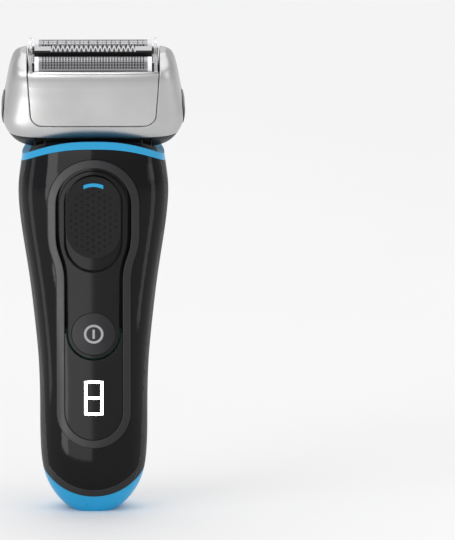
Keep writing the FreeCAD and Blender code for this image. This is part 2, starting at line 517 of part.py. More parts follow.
# ---- inside the handle ----
def chassis():
    """Plate that carries the battery and board, with the two yoke arms that hold the head."""
    room = handle_blank(INNER + 0.3, CAP_FLOOR + 0.5).common(below(CHASSIS_TOP))
    plate = room.common(box(-BIG, BIG, CHASSIS_FRONT, CHASSIS_BACK, CHASSIS_BOTTOM, CHASSIS_TOP))
    shelf = room.common(box(-BIG, BIG, CHASSIS_FRONT, HAIR_BAY_FLOOR - 2.0, ARM_BOTTOM, ARM_BOTTOM + 2))
    arm = across_x([(-ARM_HALF_DEPTH, ARM_BOTTOM), (ARM_HALF_DEPTH, ARM_BOTTOM),
                    (ARM_HALF_DEPTH, PIVOT_Z - 8), (ARM_EYE_RADIUS, PIVOT_Z),
                    (-ARM_EYE_RADIUS, PIVOT_Z), (-ARM_HALF_DEPTH, PIVOT_Z - 8)], ARM_INNER, ARM_OUTER)
    eye = rod(V(ARM_INNER, 0, PIVOT_Z), X, ARM_EYE_RADIUS, ARM_OUTER - ARM_INNER)
    bore = rod(V(ARM_INNER - 1, 0, PIVOT_Z), X, BUSH_RADIUS, 10)
    ribs = []
    for z in (BATTERY_BOTTOM + 6, BATTERY_TOP - 8):
        rib = box(-BATTERY_RADIUS - 2, BATTERY_RADIUS + 2, CHASSIS_BACK - 0.1, BATTERY_Y, z, z + 2)
        ribs.append(rib.cut(rod(V(0, BATTERY_Y, z - 1), Z, BATTERY_RADIUS + FIT, 4)))
    bosses = [rod(V(x, CHASSIS_BACK - 0.1, z), Y, POST_RADIUS, POST_FRONT - FIT - CHASSIS_BACK + 0.1)
              for x, z in POSTS]
    ears = [room.common(box(x - 4, x + 4, CHASSIS_FRONT, CHASSIS_BACK, z - 4, z + 4)) for x, z in POSTS]
    frame = fuse([plate, shelf] + both_sides(arm) + both_sides(eye) + ribs + bosses + ears)
    window = box(-SLIDER_HALF_WIDTH - 1, SLIDER_HALF_WIDTH + 1, CHASSIS_FRONT - 1, CHASSIS_BACK + 1,
                 ROCKER_WINDOW_LOW, ROCKER_WINDOW_HIGH)
    well = box(-SLIDER_HALF_WIDTH - 1, SLIDER_HALF_WIDTH + 1, -BIG, BOLT_HALF_DEPTH + RUN + 1.5,
               ARM_BOTTOM - 1, ARM_BOTTOM + 3)
    holes = [rod(V(x, CHASSIS_FRONT - 1, z), Y, SCREW_RADIUS + 0.1, 20) for x, z in POSTS]
    frame = cut(frame, window, well, *both_sides(bore), *holes)
    side = ROCKER_HALF_WIDTH + RUN
    cheek = box(side, side + 1.5, CHASSIS_FRONT, ROCKER_Y + 1.4, ROCKER_WINDOW_LOW - 0.1,
                ROCKER_WINDOW_HIGH + 0.1)
    cheek = cheek.cut(rod(V(-BIG, ROCKER_Y, ROCKER_Z), X, ROCKER_PIN_RADIUS, 2 * BIG))
    slit = box(-BIG, BIG, -BIG, ROCKER_Y - 2.1, -BIG, BIG)
    cheek = cheek.cut(slit)
    guide = box(BOLT_HALF_WIDTH + RUN, BOLT_HALF_WIDTH + RUN + 1.5, -BOLT_HALF_DEPTH, BOLT_HALF_DEPTH,
                BOLT_GUIDE_LOW, BOLT_GUIDE_HIGH)
    bridge = box(BOLT_HALF_WIDTH + RUN, BOLT_HALF_WIDTH + RUN + 1.5, CHASSIS_FRONT, BOLT_HALF_DEPTH,
                 ROCKER_WINDOW_HIGH - 1, ROCKER_WINDOW_HIGH + 2)
    parts["chassis"] = fuse([frame] + both_sides(cheek) + both_sides(guide) + both_sides(bridge))
    parts["rocker_pin"] = rod(V(-side - 1.5, ROCKER_Y, ROCKER_Z), X, ROCKER_PIN_RADIUS - FIT / 2,
                              2 * (side + 1.5))
    bush = tube(V(ARM_INNER, 0, PIVOT_Z), X, BUSH_RADIUS, PIVOT_PIN_RADIUS + 0.04, ARM_OUTER - ARM_INNER)
    parts["pivot_bushes"] = Part.makeCompound(both_sides(bush))
    screws = []
    for x, z in POSTS:
        shank = rod(V(x, CHASSIS_FRONT, z), Y, SCREW_RADIUS, POST_FRONT + SCREW_DEPTH - CHASSIS_FRONT - 0.5)
        screws.append(shank.fuse(rod(V(x, CHASSIS_FRONT - 1.1, z), Y, 1.7, 1.1)))
    parts["chassis_screws"] = Part.makeCompound(screws)


def lock_works():
    """Rocker that turns the switch's downward travel into the bolt's upward travel."""
    lift = ROCKER_DROP * ROCKER_BACK_ARM / ROCKER_FRONT_ARM
    length = math.hypot(ROCKER_FRONT_ARM, ROCKER_DROP)
    lean = -math.degrees(math.atan2(ROCKER_DROP, ROCKER_FRONT_ARM))
    half = ROCKER_HALF_WIDTH
    back_length = length * ROCKER_BACK_ARM / ROCKER_FRONT_ARM
    lever = box(-half, half, -length - 1.35, back_length + 1.35, -1.5, 1.5)
    room = ROCKER_PIN_RADIUS + RUN
    slot_front = box(-half - 1, half + 1, -length - room, -ROCKER_FRONT_ARM + room, -room, room)
    slot_back = box(-half - 1, half + 1, ROCKER_BACK_ARM - room, back_length + room, -room, room)
    bore = rod(V(-half - 1, 0, 0), X, ROCKER_PIN_RADIUS + 0.04, 2 * half + 2)
    lever = cut(lever, slot_front, slot_back, bore)
    lever.rotate(V(0, 0, 0), X, lean)
    lever.translate(V(0, ROCKER_Y, ROCKER_Z))
    parts["lock_rocker"] = lever
    pin_y, pin_z = ROCKER_Y + ROCKER_BACK_ARM, ROCKER_Z - lift
    gap = half + RUN
    blade = box(-BOLT_HALF_WIDTH, BOLT_HALF_WIDTH, -BOLT_HALF_DEPTH, BOLT_HALF_DEPTH,
                BOLT_FORK_TOP, BOLT_TOP)
    leg = box(gap, BOLT_HALF_WIDTH, -BOLT_HALF_DEPTH, BOLT_HALF_DEPTH, pin_z - 1.4, BOLT_FORK_TOP + 0.1)
    pin = rod(V(-gap - 0.5, pin_y, pin_z), X, ROCKER_PIN_RADIUS, 2 * gap + 1)
    parts["lock_bolt"] = fuse([blade] + both_sides(leg) + [pin])


def electrics():
    """Cell with its end tabs, the circuit board and its components, and the station contacts."""
    parts["battery"] = rod(V(0, BATTERY_Y, BATTERY_BOTTOM), Z, BATTERY_RADIUS, BATTERY_TOP - BATTERY_BOTTOM)
    tabs = []
    for z in (BATTERY_BOTTOM - 0.3, BATTERY_TOP):
        strip = box(-2, 2, CHASSIS_BACK + 0.2, BATTERY_Y + 2, z, z + 0.3)
        tabs.append(strip)
    parts["battery_tabs"] = Part.makeCompound(tabs)
    board = box(-BOARD_HALF_WIDTH, BOARD_HALF_WIDTH, BOARD_FRONT, BOARD_BACK, BOARD_BOTTOM, BOARD_TOP)
    parts["circuit_board"] = board
    chips = [(-5.5, 52.0, 4.0, 4.0), (3.5, 70.0, 5.0, 3.0), (-4.0, 73.0, 3.5, 3.5), (5.0, 52.0, 2.0, 4.0)]
    rear_chips = [box(x - w / 2, x + w / 2, BOARD_BACK, BOARD_BACK + 1.1, z - h / 2, z + h / 2)
                  for x, z, w, h in chips]
    parts["board_components"] = Part.makeCompound(rear_chips + [display_lamp_block(), micro_switch()])
    wall = along(HANDLE_STATIONS, CONTACT_Z, 3)
    contact = rod(V(CONTACT_X, wall - INNER - 1.0, CONTACT_Z), Y, CONTACT_RADIUS - FIT, INNER + 0.7)
    parts["charging_contacts"] = Part.makeCompound([parts["charging_contacts"]] + both_sides(contact))
    stand = box(-BOARD_HALF_WIDTH + 1, BOARD_HALF_WIDTH - 1, BOARD_BACK, CHASSIS_FRONT,
                BOARD_TOP - 3, BOARD_TOP - 1)
    foot = box(-BOARD_HALF_WIDTH + 1, BOARD_HALF_WIDTH - 1, BOARD_BACK, CHASSIS_FRONT,
               BOARD_BOTTOM + 1, BOARD_BOTTOM + 3)
    parts["chassis"] = fuse([parts["chassis"], stand, foot])


# ---- head shell, modelled upright around the pivot ----
def cassette_prism(grow=0.0, top=BIG):
    """Prism along Y of the cassette's front outline: tapering sides and round lower corners."""
    wide, low = CASSETTE_HALF_WIDTH + grow, CASSETTE_BOTTOM - grow
    narrow, corner = wide - CASSETTE_TAPER, PANEL_CORNER + grow

    def point(x, z):
        return V(x, -BIG / 4, z)

    diagonal = corner * (1 - math.sqrt(0.5))
    edges = [
        Part.makeLine(point(-wide, top), point(wide, top)),
        Part.makeLine(point(wide, top), point(wide, CASSETTE_TOP)),
        Part.makeLine(point(wide, CASSETTE_TOP), point(narrow, low + corner)),
        Part.Arc(point(narrow, low + corner), point(narrow - diagonal, low + diagonal),
                 point(narrow - corner, low)).toShape(),
        Part.makeLine(point(narrow - corner, low), point(-narrow + corner, low)),
        Part.Arc(point(-narrow + corner, low), point(-narrow + diagonal, low + diagonal),
                 point(-narrow, low + corner)).toShape(),
        Part.makeLine(point(-narrow, low + corner), point(-wide, CASSETTE_TOP)),
        Part.makeLine(point(-wide, CASSETTE_TOP), point(-wide, top)),
    ]
    return Part.Face(Part.Wire(Part.__sortEdges__(edges))).extrude(V(0, BIG / 2, 0))


def button_prism(side, grow=0.0):
    """Prism along X of a release button's lens outline."""
    middle, half = (BUTTON_LENS_TOP + BUTTON_LENS_BOTTOM) / 2, BUTTON_LENS_HALF_DEPTH + grow
    rise = (BUTTON_LENS_TOP - BUTTON_LENS_BOTTOM) / 2 + grow
    ellipse = Part.Ellipse(V(0, half, middle), V(0, 0, middle + rise), V(0, 0, middle))
    face = Part.Face(Part.Wire([ellipse.toShape()]))
    face.translate(V(side * (BAY_HALF_WIDTH + CHEEK_WALL + 0.5), 0, 0))
    return face.extrude(V(side * 20, 0, 0))


head = {}


def head_shell():
    """Silver frame with its two cheeks, and the black underside below it."""
    solid = head_blank(0.0)
    hollow = head_blank(HEAD_WALL)
    bay = cassette_prism(BAY_HALF_WIDTH - CASSETTE_HALF_WIDTH)
    cheek_walls = both_sides(box(BAY_HALF_WIDTH, BAY_HALF_WIDTH + CHEEK_WALL, -BIG, BIG, -BIG, BIG))
    frame = solid.cut(hollow.cut(Part.makeCompound(cheek_walls))).common(above(BAND_BOTTOM))
    ledge_top = DECK_TOP - FLANGE
    ledge = box(-BAY_HALF_WIDTH - 0.5, BAY_HALF_WIDTH + 0.5, -LEDGE_HALF_DEPTH, LEDGE_HALF_DEPTH,
                ledge_top - 1.2, ledge_top)
    motor_room = box(-ARM_OUTER - RUN, ARM_OUTER + RUN, -MOTOR_HALF_DEPTH - RUN, MOTOR_HALF_DEPTH + RUN,
                     -BIG, BIG)
    holes = [rod(V(x, y, 0), Z, MOTOR_SCREW_RADIUS, 9) for x, y in motor_screw_places()]
    ledge = cut(ledge, motor_room, *holes)
    lenses = [button_prism(side, 0.2) for side in (-1, 1)]
    latch = box(BAY_HALF_WIDTH - 1, BAY_HALF_WIDTH + CHEEK_WALL + 1, -LATCH_HALF_DEPTH - RUN,
                LATCH_HALF_DEPTH + RUN, LATCH_Z - 0.7 - RUN, LATCH_Z + 0.7 + RUN)
    boss = rod(V(ARM_OUTER + RUN, 0, 0), X, 3.6, BAY_HALF_WIDTH + 0.5 - ARM_OUTER - RUN)
    bore = rod(V(-BAY_HALF_WIDTH - 0.5, 0, 0), X, PIVOT_PIN_RADIUS, 2 * BAY_HALF_WIDTH + 1)
    frame = cut(frame, bay, *lenses, *both_sides(latch))
    head["head_frame"] = cut(fuse([frame, ledge] + both_sides(boss)), bore)
    under = solid.cut(hollow).common(below(BAND_BOTTOM))
    swing = rod(V(-BIG, 0, 0), X, 17.2, 2 * BIG).common(
        box(DRUM_HALF_WIDTH, ARM_OUTER + RUN, -BIG, BIG, -BIG, BIG))
    swing = swing.common(across_x([(0, 0), (-16, -BAND_SLOT), (-16, -30), (12, -30), (12, -BAND_SLOT)],
                                  -BIG, BIG))
    head["head_underside"] = cut(under, *both_sides(swing))
    drum = rod(V(-DRUM_HALF_WIDTH, 0, 0), X, DRUM_RADIUS, 2 * DRUM_HALF_WIDTH)
    drum = cut(drum.common(below(DRUM_EDGE)), solid, behind(DRUM_REAR), front_of(-DRUM_FRONT))
    notches = []
    for step in range(-2, 3):
        notch = box(-BOLT_HALF_WIDTH - RUN, BOLT_HALF_WIDTH + RUN, -BOLT_HALF_DEPTH - 0.15,
                    BOLT_HALF_DEPTH + 0.15, -DRUM_RADIUS - 1, NOTCH_TOP)
        notch.rotate(V(0, 0, 0), X, -HEAD_LEAN + step * HEAD_SWING / 2)
        notches.append(notch)
    head["swivel_drum"] = cut(drum, *notches)


def release_buttons():
    """Press buttons in the cheeks that free the cassette, with their springs."""
    outer, inner = head_blank(-BUTTON_PROUD), head_blank(HEAD_WALL)
    half, arm = LATCH_HALF_DEPTH, BUTTON_ARM_X
    hook_low, hook_high = LATCH_Z - 0.7, LATCH_Z + 0.7
    for side, name in ((-1, "left"), (1, "right")):
        cap = outer.cut(inner).common(button_prism(side))
        pieces = [box(arm + 2.1, arm + 4.7, -half, half, BUTTON_LENS_BOTTOM + 1.5, BUTTON_LENS_TOP - 0.8),
                  box(arm, arm + 4.7, -half, half, -2.0, BUTTON_LENS_TOP - 0.8),
                  box(arm, arm + 1.2, -half, half, -2.0, hook_high),
                  box(HOOK_TIP, arm + 0.1, -half, half, hook_low, hook_high)]
        pieces = pieces if side > 0 else [mirror_x(piece) for piece in pieces]
        head["release_button_" + name] = fuse([cap] + pieces)
    spring = tube(V(BAY_HALF_WIDTH + CHEEK_WALL + FIT, 0, -5.5), X, 1.6, 1.0, 2.2)
    head["release_springs"] = Part.makeCompound(both_sides(spring))


def pivot_pins():
    pin = rod(V(ARM_INNER, 0, 0), X, PIVOT_PIN_RADIUS - 0.02, BAY_HALF_WIDTH + 0.4 - ARM_INNER)
    head["pivot_pins"] = Part.makeCompound(both_sides(pin))


# ---- drive unit ----
def motor_screw_places():
    return [(x, y) for x in (-MOTOR_SCREW_X, MOTOR_SCREW_X) for y in (-MOTOR_SCREW_Y, MOTOR_SCREW_Y)]


def drive_unit():
    """Oscillating motor: frame, core, coil, two armatures with drive pins, springs and seals."""
    half, depth = MOTOR_HALF_WIDTH, MOTOR_HALF_DEPTH
    case = box(-half, half, -depth, depth, MOTOR_BOTTOM, DECK_TOP)
    room = box(-half + 1.2, half - 1.2, -depth + 1.0, depth - 1.0, MOTOR_BOTTOM + 1.2, DECK_TOP - 1.2)
    flange = box(-half, half, -LEDGE_HALF_DEPTH, LEDGE_HALF_DEPTH, DECK_TOP - FLANGE, DECK_TOP)
    slot_half = DRIVE_PIN_RADIUS + CUT_STROKE + RUN
    pin_places = (-DRIVE_PIN_Y, DRIVE_PIN_Y)
    slots = [box(-slot_half, slot_half, y - DRIVE_PIN_RADIUS - RUN, y + DRIVE_PIN_RADIUS + RUN,
                 DECK_TOP - 2, DECK_TOP + 1) for y in pin_places]
    holes = [rod(V(x, y, 0), Z, MOTOR_SCREW_RADIUS, 9) for x, y in motor_screw_places()]
    head["motor_frame"] = cut(fuse([case.cut(room), flange]), *slots, *holes)
    screws = [rod(V(x, y, DECK_TOP - FLANGE - 1.2), Z, MOTOR_SCREW_RADIUS - FIT, FLANGE + 1.2).fuse(
        rod(V(x, y, DECK_TOP), Z, 0.9, 0.25)) for x, y in motor_screw_places()]
    head["motor_screws"] = Part.makeCompound(screws)
    floor = MOTOR_BOTTOM + 1.2
    yoke = box(-CORE_HALF_WIDTH, CORE_HALF_WIDTH, -CORE_HALF_DEPTH, CORE_HALF_DEPTH, floor, floor + 2)
    legs = [box(x - 1.5, x + 1.5, -CORE_HALF_DEPTH, CORE_HALF_DEPTH, floor + 1.9, floor + CORE_HEIGHT)
            for x in (-CORE_HALF_WIDTH + 1.5, 0, CORE_HALF_WIDTH - 1.5)]
    head["stator_core"] = fuse([yoke] + legs)
    coil = box(-1.5 - COIL_BUILD, 1.5 + COIL_BUILD, -CORE_HALF_DEPTH - 1.7, CORE_HALF_DEPTH + 1.7,
               floor + 2.1, floor + CORE_HEIGHT - 0.6)
    head["stator_coil"] = coil.cut(box(-1.5 - FIT, 1.5 + FIT, -CORE_HALF_DEPTH - FIT, CORE_HALF_DEPTH + FIT,
                                       floor, floor + 9))
    slab_low = floor + CORE_HEIGHT + 0.5
    for side, name in ((-1, "front"), (1, "rear")):
        y0, y1 = sorted((side * 0.4, side * (depth - 1.3)))
        slab = box(-CORE_HALF_WIDTH, CORE_HALF_WIDTH, y0, y1, slab_low, slab_low + 2.2)
        pin = rod(V(0, side * DRIVE_PIN_Y, slab_low + 2.1), Z, DRIVE_PIN_RADIUS, DRIVE_PIN_TOP - slab_low - 2.1)
        head["armature_" + name] = fuse([slab, pin])
    leaf = box(half - 2.2, half - 1.8, -depth + 1.4, depth - 1.4, floor, DECK_TOP - 1.2)
    head["armature_springs"] = Part.makeCompound(both_sides(leaf))
    seals = [tube(V(0, y, DECK_TOP), Z, 2.7, slot_half, 0.3) for y in pin_places]
    head["drive_seals"] = Part.makeCompound(seals)


# ---- cassette with foils, blades and middle trimmer ----
def foil_axis(side, x=0.0):
    return V(x, side * FOIL_PITCH / 2, FOIL_SPRING_Z)


def arch(side, radius, x0, x1, foot):
    """Round-topped bar along X over one foil line, from its crest down to the height foot."""
    y = side * FOIL_PITCH / 2
    top = rod(foil_axis(side, x0), X, radius, x1 - x0)
    return top.fuse(box(x0, x1, y - radius, y + radius, foot, FOIL_SPRING_Z)).common(above(foot))


def cassette_body():
    outline = cassette_prism()
    outer, inner = head_blank(0.0), head_blank(CASSETTE_PANEL_WALL)
    panels = outer.cut(inner).common(outline).common(below(CASSETTE_TOP))
    head["cassette_front_panel"] = panels.common(front_of(-LEDGE_HALF_DEPTH - 0.2))
    head["cassette_rear_panel"] = panels.common(behind(LEDGE_HALF_DEPTH + 0.2))
    low, high = DECK_TOP + 0.6, CASSETTE_TOP - FIT
    side = CASSETTE_HALF_WIDTH - 0.3
    tray = inner.common(cassette_prism(-0.3)).common(box(-side, side, -BIG, BIG, low, high))
    room = box(-TRAY_HALF_WIDTH, TRAY_HALF_WIDTH, -TRAY_HALF_DEPTH, TRAY_HALF_DEPTH, low + 1.2, BIG)
    room = room.fuse(box(-TRAY_HALF_WIDTH, TRAY_HALF_WIDTH, -BIG, BIG, TRAY_STEP, BIG))
    slot_half = DRIVE_PIN_RADIUS + CUT_STROKE + RUN
    slots = [box(-slot_half, slot_half, y - 1.2, y + 1.2, 0, BIG) for y in (-DRIVE_PIN_Y, DRIVE_PIN_Y)]
    groove = box(HOOK_TIP - RELEASE_TRAVEL - 0.2, BIG, -LATCH_HALF_DEPTH - RUN, LATCH_HALF_DEPTH + RUN,
                 0, LATCH_Z + 0.7 + RUN)
    head["cassette_frame"] = cut(tray, room, *slots, *both_sides(groove))
    rim = head_blank(0.35).common(box(-side, side, -BIG, BIG, CASSETTE_TOP + FIT, CASSETTE_TOP + 0.7))
    windows = []
    for line in (-1, 1):
        y = line * FOIL_PITCH / 2
        windows.append(box(-FOIL_FRAME_HALF_LENGTH + 1.1, FOIL_FRAME_HALF_LENGTH - 1.1,
                           y - FOIL_RADIUS - 0.15, y + FOIL_RADIUS + 0.15, 0, BIG))
    windows.append(box(-GUARD_HALF_LENGTH - 0.15, GUARD_HALF_LENGTH + 0.15, -TRIMMER_HALF_DEPTH - 0.15,
                       TRIMMER_HALF_DEPTH + 0.15, 0, BIG))
    head["cassette_rim"] = cut(rim, *windows)
    x0, x1 = FOIL_FRAME_HALF_LENGTH - 1.0, FOIL_FRAME_HALF_LENGTH
    guards = []
    for line in (-1, 1):
        plate = arch(line, FOIL_RADIUS + 0.55, x0, x1, CASSETTE_TOP + 0.7)
        guards += both_sides(plate)
    head["foil_end_guards"] = Part.makeCompound(guards)
    springs = []
    for line in (-1, 1):
        spring = tube(V(CLIP_CENTRE, line * FOIL_PITCH / 2, low + 1.2), Z, 0.7, 0.4, SPRING_HEIGHT)
        springs += both_sides(spring)
    head["suspension_springs"] = Part.makeCompound(springs)


def foils():
    """Each foil is a thin arch between two clips, over a block of curved blades."""
    for line, name in ((-1, "front"), (1, "rear")):
        sheet = arch(line, FOIL_RADIUS, -FOIL_HALF_LENGTH, FOIL_HALF_LENGTH, FOIL_FOOT)
        under = arch(line, FOIL_RADIUS - FOIL_WALL, -FOIL_HALF_LENGTH, FOIL_HALF_LENGTH, FOIL_FOOT)
        head[name + "_foil"] = sheet.cut(under)
        clip = arch(line, FOIL_RADIUS - 0.15, FOIL_HALF_LENGTH, CLIP_END, FOIL_FOOT)
        head[name + "_foil_clips"] = Part.makeCompound(both_sides(clip))
        radius = FOIL_RADIUS - FOIL_WALL - 0.1
        y = line * FOIL_PITCH / 2
        bar = box(-BLADE_HALF_LENGTH, BLADE_HALF_LENGTH, y - 1.9, y + 1.9, CARRIER_BOTTOM, FOIL_SPRING_Z + 0.5)
        blades = [bar]
        count = int(BLADE_HALF_LENGTH / BLADE_PITCH)
        for step in range(-count, count + 1):
            x = step * BLADE_PITCH - BLADE_WALL / 2
            blades.append(arch(line, radius, x, x + BLADE_WALL, FOIL_SPRING_Z - 0.6))
        pocket = box(-DRIVE_PIN_RADIUS - FIT, DRIVE_PIN_RADIUS + FIT, line * DRIVE_PIN_Y - 1.2,
                     line * DRIVE_PIN_Y + 1.2, 0, DRIVE_PIN_TOP + FOIL_FLOAT + RUN)
        head[name + "_blades"] = fuse(blades).cut(pocket)


def comb_points(first, last, y_tip, y_root, pitch):
    """Corners of a saw-toothed edge along X, with every other tooth shorter."""
    points = []
    count = int(round((last - first) / pitch))
    for step in range(count):
        x = first + step * pitch
        tip = y_tip if step % 2 else y_tip - 0.35 * math.copysign(1, y_tip)
        points += [(x, y_root), (x + pitch / 2, tip)]
    return points + [(last, y_root)]


def middle_trimmer():
    """Comb of the long-hair trimmer between the foils, its cutter and its guard."""
    half, teeth = GUARD_HALF_LENGTH, TOOTH_PITCH * 9
    root = TRIMMER_HALF_DEPTH - 1.3
    front = comb_points(-teeth, teeth, -TRIMMER_HALF_DEPTH, -root, TOOTH_PITCH)
    rear = comb_points(-teeth, teeth, TRIMMER_HALF_DEPTH, root, TOOTH_PITCH)
    flat = [(-half, -BAR_HALF_DEPTH), (-teeth, -BAR_HALF_DEPTH)] + front
    flat += [(teeth, -BAR_HALF_DEPTH), (half, -BAR_HALF_DEPTH)]
    flat += [(half, BAR_HALF_DEPTH), (teeth, BAR_HALF_DEPTH)]
    flat += rear[::-1] + [(-teeth, BAR_HALF_DEPTH), (-half, BAR_HALF_DEPTH)]
    outline = Part.makePolygon([V(x, y, TRIMMER_TOP - COMB_WALL) for x, y in flat + flat[:1]])
    head["trimmer_comb"] = Part.Face(outline).extrude(V(0, 0, COMB_WALL))
    guard_top = TRIMMER_TOP - COMB_WALL
    guard = box(-half, half, -GUARD_HALF_DEPTH, GUARD_HALF_DEPTH, GUARD_BOTTOM, guard_top)
    room = box(-half + 1.2, half - 1.2, -GUARD_HALF_DEPTH + 0.5, GUARD_HALF_DEPTH - 0.5, 0, BIG)
    head["trimmer_guard"] = guard.cut(room)
    blade_top = guard_top - 0.05
    blade = box(-BLADE_HALF_LENGTH, BLADE_HALF_LENGTH, -GUARD_HALF_DEPTH + 0.75, GUARD_HALF_DEPTH - 0.75,
                blade_top - 0.5, blade_top)
    cuts = [box(x - 0.35, x + 0.35, y0, y0 + 0.9, 0, BIG)
            for y0 in (-GUARD_HALF_DEPTH, GUARD_HALF_DEPTH - 0.9)
            for x in [step * TOOTH_PITCH for step in range(-8, 9)]]
    stem = box(-1.5, 1.5, -0.8, 0.8, LINK_BOTTOM, blade_top - 0.4)
    link = box(-2.2, 2.2, -DRIVE_PIN_Y - 1.8, 0.8, LINK_BOTTOM, LINK_BOTTOM + LINK_WALL)
    eye = box(-DRIVE_PIN_RADIUS - FIT, DRIVE_PIN_RADIUS + FIT, -DRIVE_PIN_Y - 1.1,
              -DRIVE_PIN_Y + 1.1, 0, DRIVE_PIN_TOP + 1)
    head["trimmer_blade"] = fuse([cut(blade, *cuts), stem, link]).cut(eye)


# ---- long-hair trimmer on the back ----
def hair_trimmer():
    half = HAIR_BAY_HALF_WIDTH - RUN
    slab = box(-half, half, HAIR_BAY_FLOOR + RUN, BIG, HAIR_BAY_BOTTOM + RUN, HAIR_TOP)
    parts["hair_trimmer_slide"] = slab.common(skin[0.0])
    low, pitch = HAIR_TOP + FIT, 1.2
    half = HAIR_BLADE_HALF_WIDTH
    for name, y0, shift, length in (("hair_trimmer_comb", HAIR_BAY_FLOOR + 0.4, 0.0, 3.4),
                                    ("hair_trimmer_cutter", HAIR_BAY_FLOOR + 1.25, 0.8, 2.8)):
        plate = box(-half + shift, half - shift, y0, y0 + 0.8, low, low + length)
        cuts = [box(x - 0.3, x + 0.3, y0 - 1, y0 + 2, low + length - 1.3, low + 9)
                for x in [step * pitch for step in range(-7, 8)]]
        parts[name] = cut(plate, *cuts)


# ---- build ----
for build in (housings, neck_ring, saddle_plate, base, front_panel, display, power_button, lock_switch,
              chassis, lock_works, electrics, hair_trimmer, head_shell, release_buttons, pivot_pins,
              drive_unit, cassette_body, foils, middle_trimmer):
    build()
for name, piece in head.items():
    parts[name] = seat(piece)

os.makedirs("parts", exist_ok=True)
for name, piece in parts.items():
    piece.exportStep("parts/" + name + ".step")
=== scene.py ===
import bpy
import bmesh
import json
import math
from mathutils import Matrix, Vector


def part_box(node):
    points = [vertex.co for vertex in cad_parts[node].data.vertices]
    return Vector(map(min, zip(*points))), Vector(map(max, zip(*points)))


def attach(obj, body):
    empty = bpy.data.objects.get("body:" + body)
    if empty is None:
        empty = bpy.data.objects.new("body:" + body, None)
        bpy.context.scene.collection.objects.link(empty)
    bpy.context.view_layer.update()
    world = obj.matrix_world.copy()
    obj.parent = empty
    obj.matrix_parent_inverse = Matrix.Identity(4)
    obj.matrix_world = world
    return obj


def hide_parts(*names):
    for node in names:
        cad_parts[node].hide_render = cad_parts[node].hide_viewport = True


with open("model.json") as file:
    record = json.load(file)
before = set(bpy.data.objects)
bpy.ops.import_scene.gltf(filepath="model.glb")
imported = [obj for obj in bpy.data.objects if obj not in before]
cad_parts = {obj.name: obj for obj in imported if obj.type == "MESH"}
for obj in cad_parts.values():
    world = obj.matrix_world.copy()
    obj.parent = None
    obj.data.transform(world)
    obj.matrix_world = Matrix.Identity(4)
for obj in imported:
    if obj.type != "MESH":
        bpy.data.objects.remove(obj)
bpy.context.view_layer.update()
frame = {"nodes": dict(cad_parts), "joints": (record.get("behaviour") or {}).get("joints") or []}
NODES = frame["nodes"]

# ---- sizes, in metres and degrees ----
CAMERA_DISTANCE = 5.0
CAMERA_ELEVATION = 12.0
VIEW_HEIGHT = 0.1818          # what the frame's long side spans at the object
AIM_RIGHT = 0.0451            # the object stands this far left of the frame's middle
AIM_UP = 0.0795
FLOOR_SIZE = 6.0
EDGE_SMALL, EDGE_LARGE = 0.00025, 0.0005
SHARP_ANGLE = 30.0            # edges that bend more than this are shaded sharp

# the lock pad's dimples: their pitch, the hole's floor and rim as shares of it, and the oval they fill
DIMPLE_PITCH = 0.0022
DIMPLE_FLOOR, DIMPLE_RIM = 0.13, 0.22
DIMPLED_HALF_WIDTH = 0.0079
DIMPLED_FROM_LOW, DIMPLED_FROM_HIGH = 0.001, 0.0035

# the foils and the comb, in the head's own frame: x, depth from its middle and rise above the pivot
FOIL_CELL = 0.00095
FOIL_RADIUS, FOIL_SPRING, FOIL_FOOT = 0.00325, 0.0139, 0.0124
FOIL_HALF_LENGTH, FOIL_DEPTH = 0.0182, 0.007
FOIL_THICKNESS = 0.00012
FOIL_HOLE_ACROSS, FOIL_HOLE_ALONG = 0.40, 0.33     # the hole's radii as shares of the cell
FOIL_PLAIN_ROWS = 2
COMB_LOW, COMB_HIGH = 0.01706, 0.01739
COMB_PITCH, COMB_TEETH, COMB_WIRE = 0.00156, 9, 0.00052
COMB_REACH, COMB_BAR, COMB_HALF_LENGTH = 0.0026, 0.0017, 0.0196
COMB_ROUNDING = 0.00008
CREASE_RISE, CREASE_ANGLE = 0.0086, 5.0
WELD, ON_FOLD = 1e-7, 1e-6
PIVOT_Z = next(joint["pos_m"][2] for joint in frame["joints"] if joint["name"] == "head_tilt")
HEAD_LEAN = math.radians(13.0)

# ---- looks ----
DRIFT_SCALE, WEAR_SCALE, GRAIN_SCALE = 60, 220, 2500       # plastics: colour, gloss and surface
METAL_DRIFT_SCALE, FLAKE_SCALE, BRUSH_SCALE = 90, 3000, 900
GRAIN_DEPTH, FLAKE_DEPTH, DIMPLE_DEPTH = 0.0001, 0.00002, 0.0003
HANDLE_MIDDLE, HEAD_MIDDLE = (0, 0, 0.09), (0, 0, 0.14)
MIRROR_FRONT, MIRROR_RISE, MIRROR_HEIGHT = -0.06, 0.085, 0.17
BACKDROP_COLOUR, BACKDROP_STRENGTH = (0.93, 0.93, 0.94, 1), 0.72
FLOOR_DARK, FLOOR_LIGHT = (0.84, 0.84, 0.84, 1), (0.87, 0.87, 0.87, 1)


# ---- materials ----
def tree_of(name):
    """A new material with a Principled shader, as (material, nodes, links, shader)."""
    material = bpy.data.materials.new(name)
    material.use_nodes = True
    tree = material.node_tree
    shader = tree.nodes["Principled BSDF"]
    return material, tree.nodes, tree.links, shader


def shade(colour, factor=1.0):
    """A colour made darker or lighter, with its alpha."""
    return tuple(min(1, c * factor) for c in colour) + (1,)


def noise(nodes, links, scale, detail=3.0):
    """A noise texture in object space."""
    place = nodes.new("ShaderNodeTexCoord")
    texture = nodes.new("ShaderNodeTexNoise")
    texture.inputs["Scale"].default_value = scale
    texture.inputs["Detail"].default_value = detail
    links.new(place.outputs["Object"], texture.inputs["Vector"])
    return texture


